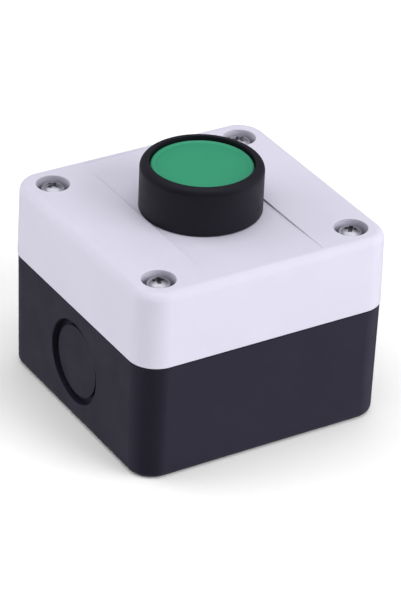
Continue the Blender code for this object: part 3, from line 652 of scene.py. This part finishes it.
def base_cutters():
    """What is cut from the base: the space between the feet, the screw pilots, the knockouts and
    the wall fixing holes. The feet come first, because a hole cut before them has open seams."""
    beyond = 0.06
    below = (-3 * CLEAR, FOOT_HEIGHT)
    feet = [
        block("foot_x", (-beyond, beyond), (-FOOT_START_Y, FOOT_START_Y), below),
        block("foot_y", (-FOOT_START_X, FOOT_START_X), (-beyond, beyond), below),
    ]
    pilots = four_corners(lambda n, at: pillar(
        f"pilot_{n}", PILOT_RADIUS, SCREW_TIP - 2 * CLEAR, PARTING + CLEAR, at))
    cutters = []
    for side in (-1, 1):
        cutters.append(knockout_cutter(side))
        cutters.append(pillar(
            f"mount_{side + 2}", MOUNT_HOLE_RADIUS, -CLEAR, FLOOR_TOP + 2 * CLEAR,
            (0.0, side * MOUNT_HOLE_Y)))
    return feet + pilots + cutters


def cross_cutter(name, top, depth, half_length, half_width):
    """A driver recess: two crossed wedges that narrow downwards."""
    foot_share, above_share, above_depth = 0.42, 1.35, 0.6
    narrowest = 0.6
    levels_in_z = (
        (foot_share, top - depth), (1.0, top), (above_share, top + depth * above_depth),
    )
    wedges = []
    for number in range(2):
        rows = []
        for share, z in levels_in_z:
            x, y = half_length * share, half_width * (narrowest + (1 - narrowest) * share)
            if number:
                x, y = y, x
            rows.append([(x, -y, z), (x, y, z), (-x, y, z), (-x, -y, z)])
        wedges.append(bridged(f"{name}_{number}", rows))
    return wedges


def cover_screw(number, at, turn):
    """A pan head screw with a cross recess and a cut thread, turned to its own angle."""
    head_radius = (SCREW_HIGH.x - SCREW_LOW.x) / 2
    head_base = SCREW_SEAT + REST_GAP
    top = SCREW_HIGH.z
    dome, dome_steps, rim = 0.0013, 10, 0.00015
    shank, neck_round = 0.0019, 0.0002
    tip_radius, tip_length = 0.0012, 0.0010
    pitch, thread_depth, row_step = 0.0008, 0.00030, 0.00012
    thread_foot, plain_neck = SCREW_TIP + 0.0008, 0.0020
    profile = [(0.0, top)]
    for i in range(1, dome_steps + 1):
        angle = math.radians(90 * i / dome_steps)
        profile.append((head_radius * math.sin(angle), top - dome + dome * math.cos(angle)))
    profile += arc((head_radius - rim, head_base + rim), rim, 0, -90, 3)
    profile += [(shank + neck_round, head_base), (shank, head_base - neck_round)]
    wall = levels(head_base - plain_neck, SCREW_TIP + tip_length, row_step)
    profile += [(shank, z) for z in wall]
    profile += [(tip_radius, SCREW_TIP), (0.0, SCREW_TIP)]
    bm = spun(profile, SCREW_SEGMENTS, False)
    thread_top = head_base - plain_neck - neck_round
    cut_thread(bm, shank, thread_foot, thread_top, pitch, thread_depth)
    screw = made(f"cover_screw_fine_{number}", bm)
    cross = cross_cutter("cross", top, CROSS_DEPTH, CROSS_HALF_LENGTH, CROSS_HALF_WIDTH)
    combined(screw, "DIFFERENCE", *cross)
    place = Matrix.Translation((at[0], at[1], 0.0))
    screw.data.transform(place @ Matrix.Rotation(math.radians(turn), 4, "Z"))
    return screw


# ---------------------------------------------------------------- button head
def head_body():
    """Collar, cup and threaded sleeve in one moulding."""
    radius = HEAD_HIGH.x
    top, base, foot = HEAD_HIGH.z, 0.0509, HEAD_LOW.z
    pocket, gasket_seat = 0.0143, 0.0522
    cup_floor = 0.0532
    seal_radius, seal_seat = 0.0078, 0.0514
    guide, web_base = 0.0061, 0.0490
    lip, mouth, foot_chamfer = 0.0002, 0.00015, 0.0005
    wall_top, row_step = 0.0476, 0.00015
    thread_top, thread_lead = 0.0474, 0.0006
    pitch, thread_depth = 0.0015, 0.00055
    profile = arc((radius - COLLAR_ROUND, top - COLLAR_ROUND), COLLAR_ROUND, 90, 0, 10)
    profile += arc((radius - lip, base + lip), lip, 0, -90, 3)
    profile += [(pocket, base), (pocket, gasket_seat), (SLEEVE_RADIUS, gasket_seat)]
    profile += [(SLEEVE_RADIUS, z) for z in levels(wall_top, foot + foot_chamfer, row_step)]
    profile += [
        (SLEEVE_RADIUS - foot_chamfer, foot), (SLEEVE_BORE, foot), (SLEEVE_BORE, web_base),
        (guide, web_base), (guide, seal_seat), (seal_radius, seal_seat), (seal_radius, cup_floor),
        (CUP_RADIUS, cup_floor),
    ]
    profile += arc((CUP_RADIUS + mouth, top - mouth), mouth, 180, 90, 5)
    bm = spun(profile, HEAD_SEGMENTS)
    cut_thread(bm, SLEEVE_RADIUS, foot + thread_lead, thread_top, pitch, thread_depth)
    return made("head_body_fine", bm)


def button_cap():
    """The cap: a shallow dish inside a rounded rim, hollow below, with the hub for the stem."""
    radius, top, skirt = CAP_HIGH.x, CAP_HIGH.z, CAP_LOW.z
    underside = 0.0612
    inside, hub, bore = 0.0115, 0.0062, 0.0041
    hub_foot = skirt + 0.0006
    rim, skirt_round = 0.00045, 0.0002
    dish, rim_width = 0.00028, 0.00125
    dish_radius = radius - rim_width
    profile = [(0.0, top - dish), (dish_radius * 0.5, top - dish), (dish_radius, top - dish)]
    for reach, share in ((0.00022, 0.80), (0.00042, 0.22)):
        profile.append((dish_radius + reach, top - dish * share))
    profile += arc((radius - rim, top - rim), rim, 100, 0, 7)
    profile += arc((radius - skirt_round, skirt + skirt_round), skirt_round, 0, -90, 3)
    profile += [
        (inside, skirt), (inside, underside), (hub, underside), (hub, hub_foot), (bore, hub_foot),
        (bore, underside), (0.0, underside),
    ]
    return made("button_cap_fine", spun(profile, HEAD_SEGMENTS, False))


def softened(points, radius, closed=True):
    """A profile with every corner cut by two small chamfers, so that it takes light. An open
    profile keeps its two ends."""
    most, half_cut, keep = 0.4, 0.293, 0.414  # 0.293 is 1 - cos 45 degrees, and 0.414 the rest
    result = []
    count = len(points)
    for i, here in enumerate(points):
        if not closed and i in (0, count - 1):
            result.append(here)
            continue
        before, after = Vector(points[i - 1]), Vector(points[(i + 1) % count])
        corner = Vector(here)
        first, last = before - corner, after - corner
        reach = min(radius, first.length * most, last.length * most)
        start = corner + first.normalized() * reach
        end = corner + last.normalized() * reach
        middle = corner * keep + (start + end) * half_cut
        result += [tuple(start), tuple(middle), tuple(end)]
    return result


def spring(name, radius, wire, low, high, turns, centre):
    """A compression spring swept along its helix, with a flat half turn at each end."""
    per_turn, around = 40, 12
    foot, rise = low + wire / 2, high - low - wire
    count = round(turns * per_turn)
    path = []
    for i in range(count + 1):
        turn = i / per_turn
        share = min(max((turn - 0.5) / (turns - 1.0), 0.0), 1.0)
        angle = 2 * math.pi * turn
        path.append(Vector((
            centre[0] + radius * math.cos(angle), centre[1] + radius * math.sin(angle),
            foot + rise * share,
        )))
    rows = []
    for i, point in enumerate(path):
        along = (path[min(i + 1, count)] - path[max(i - 1, 0)]).normalized()
        outward = Vector((point.x - centre[0], point.y - centre[1], 0.0)).normalized()
        across = along.cross(outward).normalized()
        outward = across.cross(along)
        row = []
        for k in range(around):
            turn = 2 * math.pi * k / around
            offset = outward * math.cos(turn) + across * math.sin(turn)
            row.append(point + offset * (wire / 2))
        rows.append(row)
    return bridged(name, rows)


def button_stem():
    """The plunger: a neck for the cap, a guided shaft and a wide hollow piston."""
    low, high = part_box("button_stem")
    piston, foot, crown = high.x, low.z, high.z
    neck, shaft, shoulder = 0.0040, 0.0060, 0.0487
    neck_foot = CAP_LOW.z + 0.0002
    wide_bore, wide_end, narrow_bore, narrow_end = 0.0050, 0.0460, 0.0030, 0.0570
    lead, lead_height, corner_round = 0.0004, 0.00045, 0.0002
    profile = [
        (0.0, crown), (neck - lead, crown), (neck, crown - lead_height), (neck, neck_foot),
        (shaft, neck_foot), (shaft, shoulder), (piston, shoulder), (piston, foot),
        (wide_bore, foot), (wide_bore, wide_end), (narrow_bore, wide_end),
        (narrow_bore, narrow_end), (0.0, narrow_end),
    ]
    profile = softened(profile, corner_round, False)
    return turned("button_stem_fine", profile, INNER_RING_SEGMENTS, False)


def stem_seal():
    """The lip seal that wipes the stem."""
    low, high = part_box("stem_seal")
    outer, bottom, top = high.x, low.z, high.z
    lip, foot_back, waist_back = 0.0063, 0.0004, 0.0006
    waist_height, lip_chamfer, corner_round = 0.0007, 0.0003, 0.00008
    profile = [
        (outer, top), (outer, bottom), (lip + foot_back, bottom),
        (lip + waist_back, bottom + waist_height), (lip, top - lip_chamfer),
        (lip + lip_chamfer, top),
    ]
    return turned("stem_seal_fine", softened(profile, corner_round), INNER_RING_SEGMENTS)


def flat_ring(node, inner, corner_round, segments):
    """A plain ring as large as its CAD node, with softened corners."""
    low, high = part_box(node)
    profile = [(high.x, high.z), (high.x, low.z), (inner, low.z), (inner, high.z)]
    return turned(node + "_fine", softened(profile, corner_round), segments)


def build_enclosure():
    even_flats(piece(cover(), "cover", "enclosure", "white_plastic"))
    even_flats(piece(base_housing(), "base_housing", "enclosure", "black_plastic"))

    def fasten(number, at):
        screw = cover_screw(number, at, SCREW_TURNS[number - 1])
        return even_flats(piece(screw, f"cover_screw_{number}", "enclosure", "steel"))

    four_corners(fasten)


def spring_seat():
    """The washer that the return spring stands on."""
    return flat_ring("spring_seat", inner=0.0063, corner_round=0.0001, segments=96)


def head_gasket():
    """The flat seal between the collar and the cover."""
    return flat_ring("head_gasket", inner=0.0113, corner_round=0.00015, segments=128)


def build_head():
    for make, node, body, slot in (
        (head_body, "head_body", "enclosure", "head_plastic"),
        (button_cap, "button_cap", "button", "green_plastic"),
        (spring_seat, "spring_seat", "enclosure", "steel"),
        (button_stem, "button_stem", "button", "grey_plastic"),
        (stem_seal, "stem_seal", "enclosure", "seal_rubber"),
        (head_gasket, "head_gasket", "enclosure", "seal_rubber"),
    ):
        even_flats(piece(make(), node, body, slot))


def build_springs():
    for node, body, radius, wire, turns, fixed in (
        ("return_spring", "enclosure", 0.0082, 0.0007, 3.0, "low"),
        ("carrier_spring", "enclosure", 0.0011, 0.0004, 5.0, "low"),
        ("bridge_spring", "carrier", 0.0011, 0.0004, 4.0, "high"),
    ):
        low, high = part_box(node)
        centre = (0.0, 0.0) if node == "return_spring" else (BLOCK_X, 0.0)
        coil = spring(node + "_fine", radius, wire, low.z, high.z, turns, centre)
        piece(coil, node, body, "steel")
        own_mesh(coil)


def finish_cad_nodes():
    """The CAD nodes that stay get soft edges and the look of their material slot."""
    slots = {part["node"]: part["material_slot"] for part in frame["record"]["subparts"]}
    for name, obj in frame["nodes"].items():
        if obj.hide_render:
            continue
        obj.data.materials.clear()
        obj.data.materials.append(LOOKS[slots[name]])
        weld = obj.modifiers.new("weld", "WELD")
        weld.merge_threshold = 1e-6
        edges = obj.modifiers.new("soft_edges", "BEVEL")
        edges.width = 0.00012
        edges.segments = 2
        edges.limit_method = "ANGLE"
        edges.angle_limit = math.radians(40)
        edges.use_clamp_overlap = True


# ---------------------------------------------------------------- stage
CAMERA_AZIMUTH = 57.878
CAMERA_ELEVATION = 30.887
CAMERA_ROLL = -2.527
CAMERA_DISTANCE = 0.79216
CAMERA_SHIFT = (-0.000768, 0.005092)
CAMERA_LENS = 192.740
CAMERA_SENSOR = 36.0
AIM = Vector((0.0, 0.0, 0.030))  # what the camera and the softboxes face
LIGHT_DISTANCE = 1.1
FLOOR_HALF = 6.0
AMBIENT = 0.62
REFLECTED_TINT = (0.90, 0.89, 1.0)
REFLECTED_BASE = 0.22


def direction(azimuth, elevation):
    """The unit vector at an azimuth, in degrees from -Y towards +X, and an elevation."""
    a, e = math.radians(azimuth), math.radians(elevation)
    return Vector((math.sin(a) * math.cos(e), -math.cos(a) * math.cos(e), math.sin(e)))


def build_camera():
    azimuth = math.radians(CAMERA_AZIMUTH)
    back = direction(CAMERA_AZIMUTH, CAMERA_ELEVATION)
    right = Vector((math.cos(azimuth), math.sin(azimuth), 0.0))
    up = back.cross(right)
    roll = math.radians(CAMERA_ROLL)
    across = right * math.cos(roll) - up * math.sin(roll)
    upward = right * math.sin(roll) + up * math.cos(roll)
    data = bpy.data.cameras.new("camera")
    data.lens = CAMERA_LENS
    data.sensor_width = CAMERA_SENSOR
    data.clip_start, data.clip_end = 0.01, 50.0
    camera = bpy.data.objects.new("camera", data)
    bpy.context.scene.collection.objects.link(camera)
    aim = AIM - across * CAMERA_SHIFT[0] - upward * CAMERA_SHIFT[1]
    turn = Matrix((across, upward, back)).transposed().to_4x4()
    camera.matrix_world = Matrix.Translation(aim + back * CAMERA_DISTANCE) @ turn
    bpy.context.scene.camera = camera


def add_light(name, azimuth, elevation, size, power):
    """A softbox that faces the object. Shiny surfaces see the softboxes in the world instead."""
    back = direction(azimuth, elevation)
    data = bpy.data.lights.new(name, "AREA")
    data.shape = "RECTANGLE"
    data.size, data.size_y = size
    data.energy = power
    light = bpy.data.objects.new(name, data)
    bpy.context.scene.collection.objects.link(light)
    light.location = AIM + back * LIGHT_DISTANCE
    light.rotation_mode = "QUATERNION"
    light.rotation_quaternion = back.to_track_quat("Z", "Y")
    light.visible_glossy = False


def build_world():
    """A pale even studio. Shiny surfaces see it as it would be with its softboxes: bright
    overhead and to the right, dim at the back, dark behind the camera."""
    world = bpy.data.worlds.new("studio")
    bpy.context.scene.world = world
    world.use_nodes = True
    tree = world.node_tree
    link = tree.links.new

    def add(kind, **values):
        node = tree.nodes.new(kind)
        for key, value in values.items():
            setattr(node, key, value)
        return node

    place = add("ShaderNodeTexCoord").outputs["Generated"]

    def towards(azimuth, elevation, start, end, low, high):
        """A smooth step from low to high as the direction nears the one given."""
        dot = add("ShaderNodeVectorMath", operation="DOT_PRODUCT")
        link(place, dot.inputs[0])
        dot.inputs[1].default_value = direction(azimuth, elevation)
        step = add("ShaderNodeMapRange", interpolation_type="SMOOTHSTEP")
        link(dot.outputs["Value"], step.inputs["Value"])
        for name, number in (
            ("From Min", start), ("From Max", end), ("To Min", low), ("To Max", high),
        ):
            step.inputs[name].default_value = number
        return step.outputs["Result"]

    def joined(first, second, operation):
        node = add("ShaderNodeMath", operation=operation)
        for socket, value in zip(node.inputs, (first, second)):
            if isinstance(value, bpy.types.NodeSocket):
                link(value, socket)
            else:
                socket.default_value = value
        return node.outputs["Value"]

    # azimuth and elevation, the cosines where the step starts and ends, and its two strengths
    right = towards(125, 0, 0.10, 0.85, 0.0, 0.55)
    overhead = towards(0, 90, 0.68, 0.95, 0.0, 1.05)
    left = towards(-50, 0, 0.20, 0.80, 0.0, 0.14)
    dimmed_behind_camera = towards(CAMERA_AZIMUTH + 4, 0, 0.32, 0.70, 1.0, 0.04)
    lit = joined(joined(joined(right, REFLECTED_BASE, "ADD"), overhead, "ADD"), left, "ADD")
    reflected = joined(lit, dimmed_behind_camera, "MULTIPLY")

    path = add("ShaderNodeLightPath")
    strength = add("ShaderNodeMix")
    link(path.outputs["Is Glossy Ray"], strength.inputs[0])
    strength.inputs[2].default_value = AMBIENT
    link(reflected, strength.inputs[3])
    seen = add("ShaderNodeMix")
    link(path.outputs["Is Camera Ray"], seen.inputs[0])
    link(strength.outputs[0], seen.inputs[2])
    seen.inputs[3].default_value = 1.0
    tint = add("ShaderNodeMix", data_type="RGBA")
    link(path.outputs["Is Glossy Ray"], tint.inputs[0])
    tint.inputs[6].default_value = (1.0, 1.0, 1.0, 1.0)
    tint.inputs[7].default_value = (*REFLECTED_TINT, 1.0)
    background = tree.nodes["Background"]
    link(tint.outputs[2], background.inputs["Color"])
    link(seen.outputs[0], background.inputs["Strength"])


def build_floor():
    bm = bmesh.new()
    bmesh.ops.create_grid(bm, x_segments=8, y_segments=8, size=FLOOR_HALF)
    floor = made("floor", bm)
    look = Look("pale_floor")
    mottle = look.noise(9.0, 3.0)
    share = look.spread(mottle, 0.3, 0.7, 0.0, 1.0)
    tone = look.mix(share, (0.955, 0.955, 0.955), (0.975, 0.975, 0.975))
    rough = look.spread(mottle, 0.3, 0.7, 0.85, 0.95)
    look.finish(tone, rough, look.bump(look.noise(700.0), 0.00002, 0.3), Specular_IOR_Level=0.0)
    floor.data.materials.append(look.material)
    floor.visible_glossy = False


def build_stage():
    build_floor()
    build_world()
    add_light("key", azimuth=125.0, elevation=27.0, size=(0.8, 0.6), power=7.2)
    add_light("fill", azimuth=-42.0, elevation=20.0, size=(0.8, 0.6), power=4.4)
    add_light("overhead", azimuth=0.0, elevation=90.0, size=(0.9, 0.9), power=4.1)
    bpy.context.scene.view_settings.view_transform = "Standard"


build_enclosure()
build_head()
build_springs()
finish_cad_nodes()
build_camera()
build_stage()
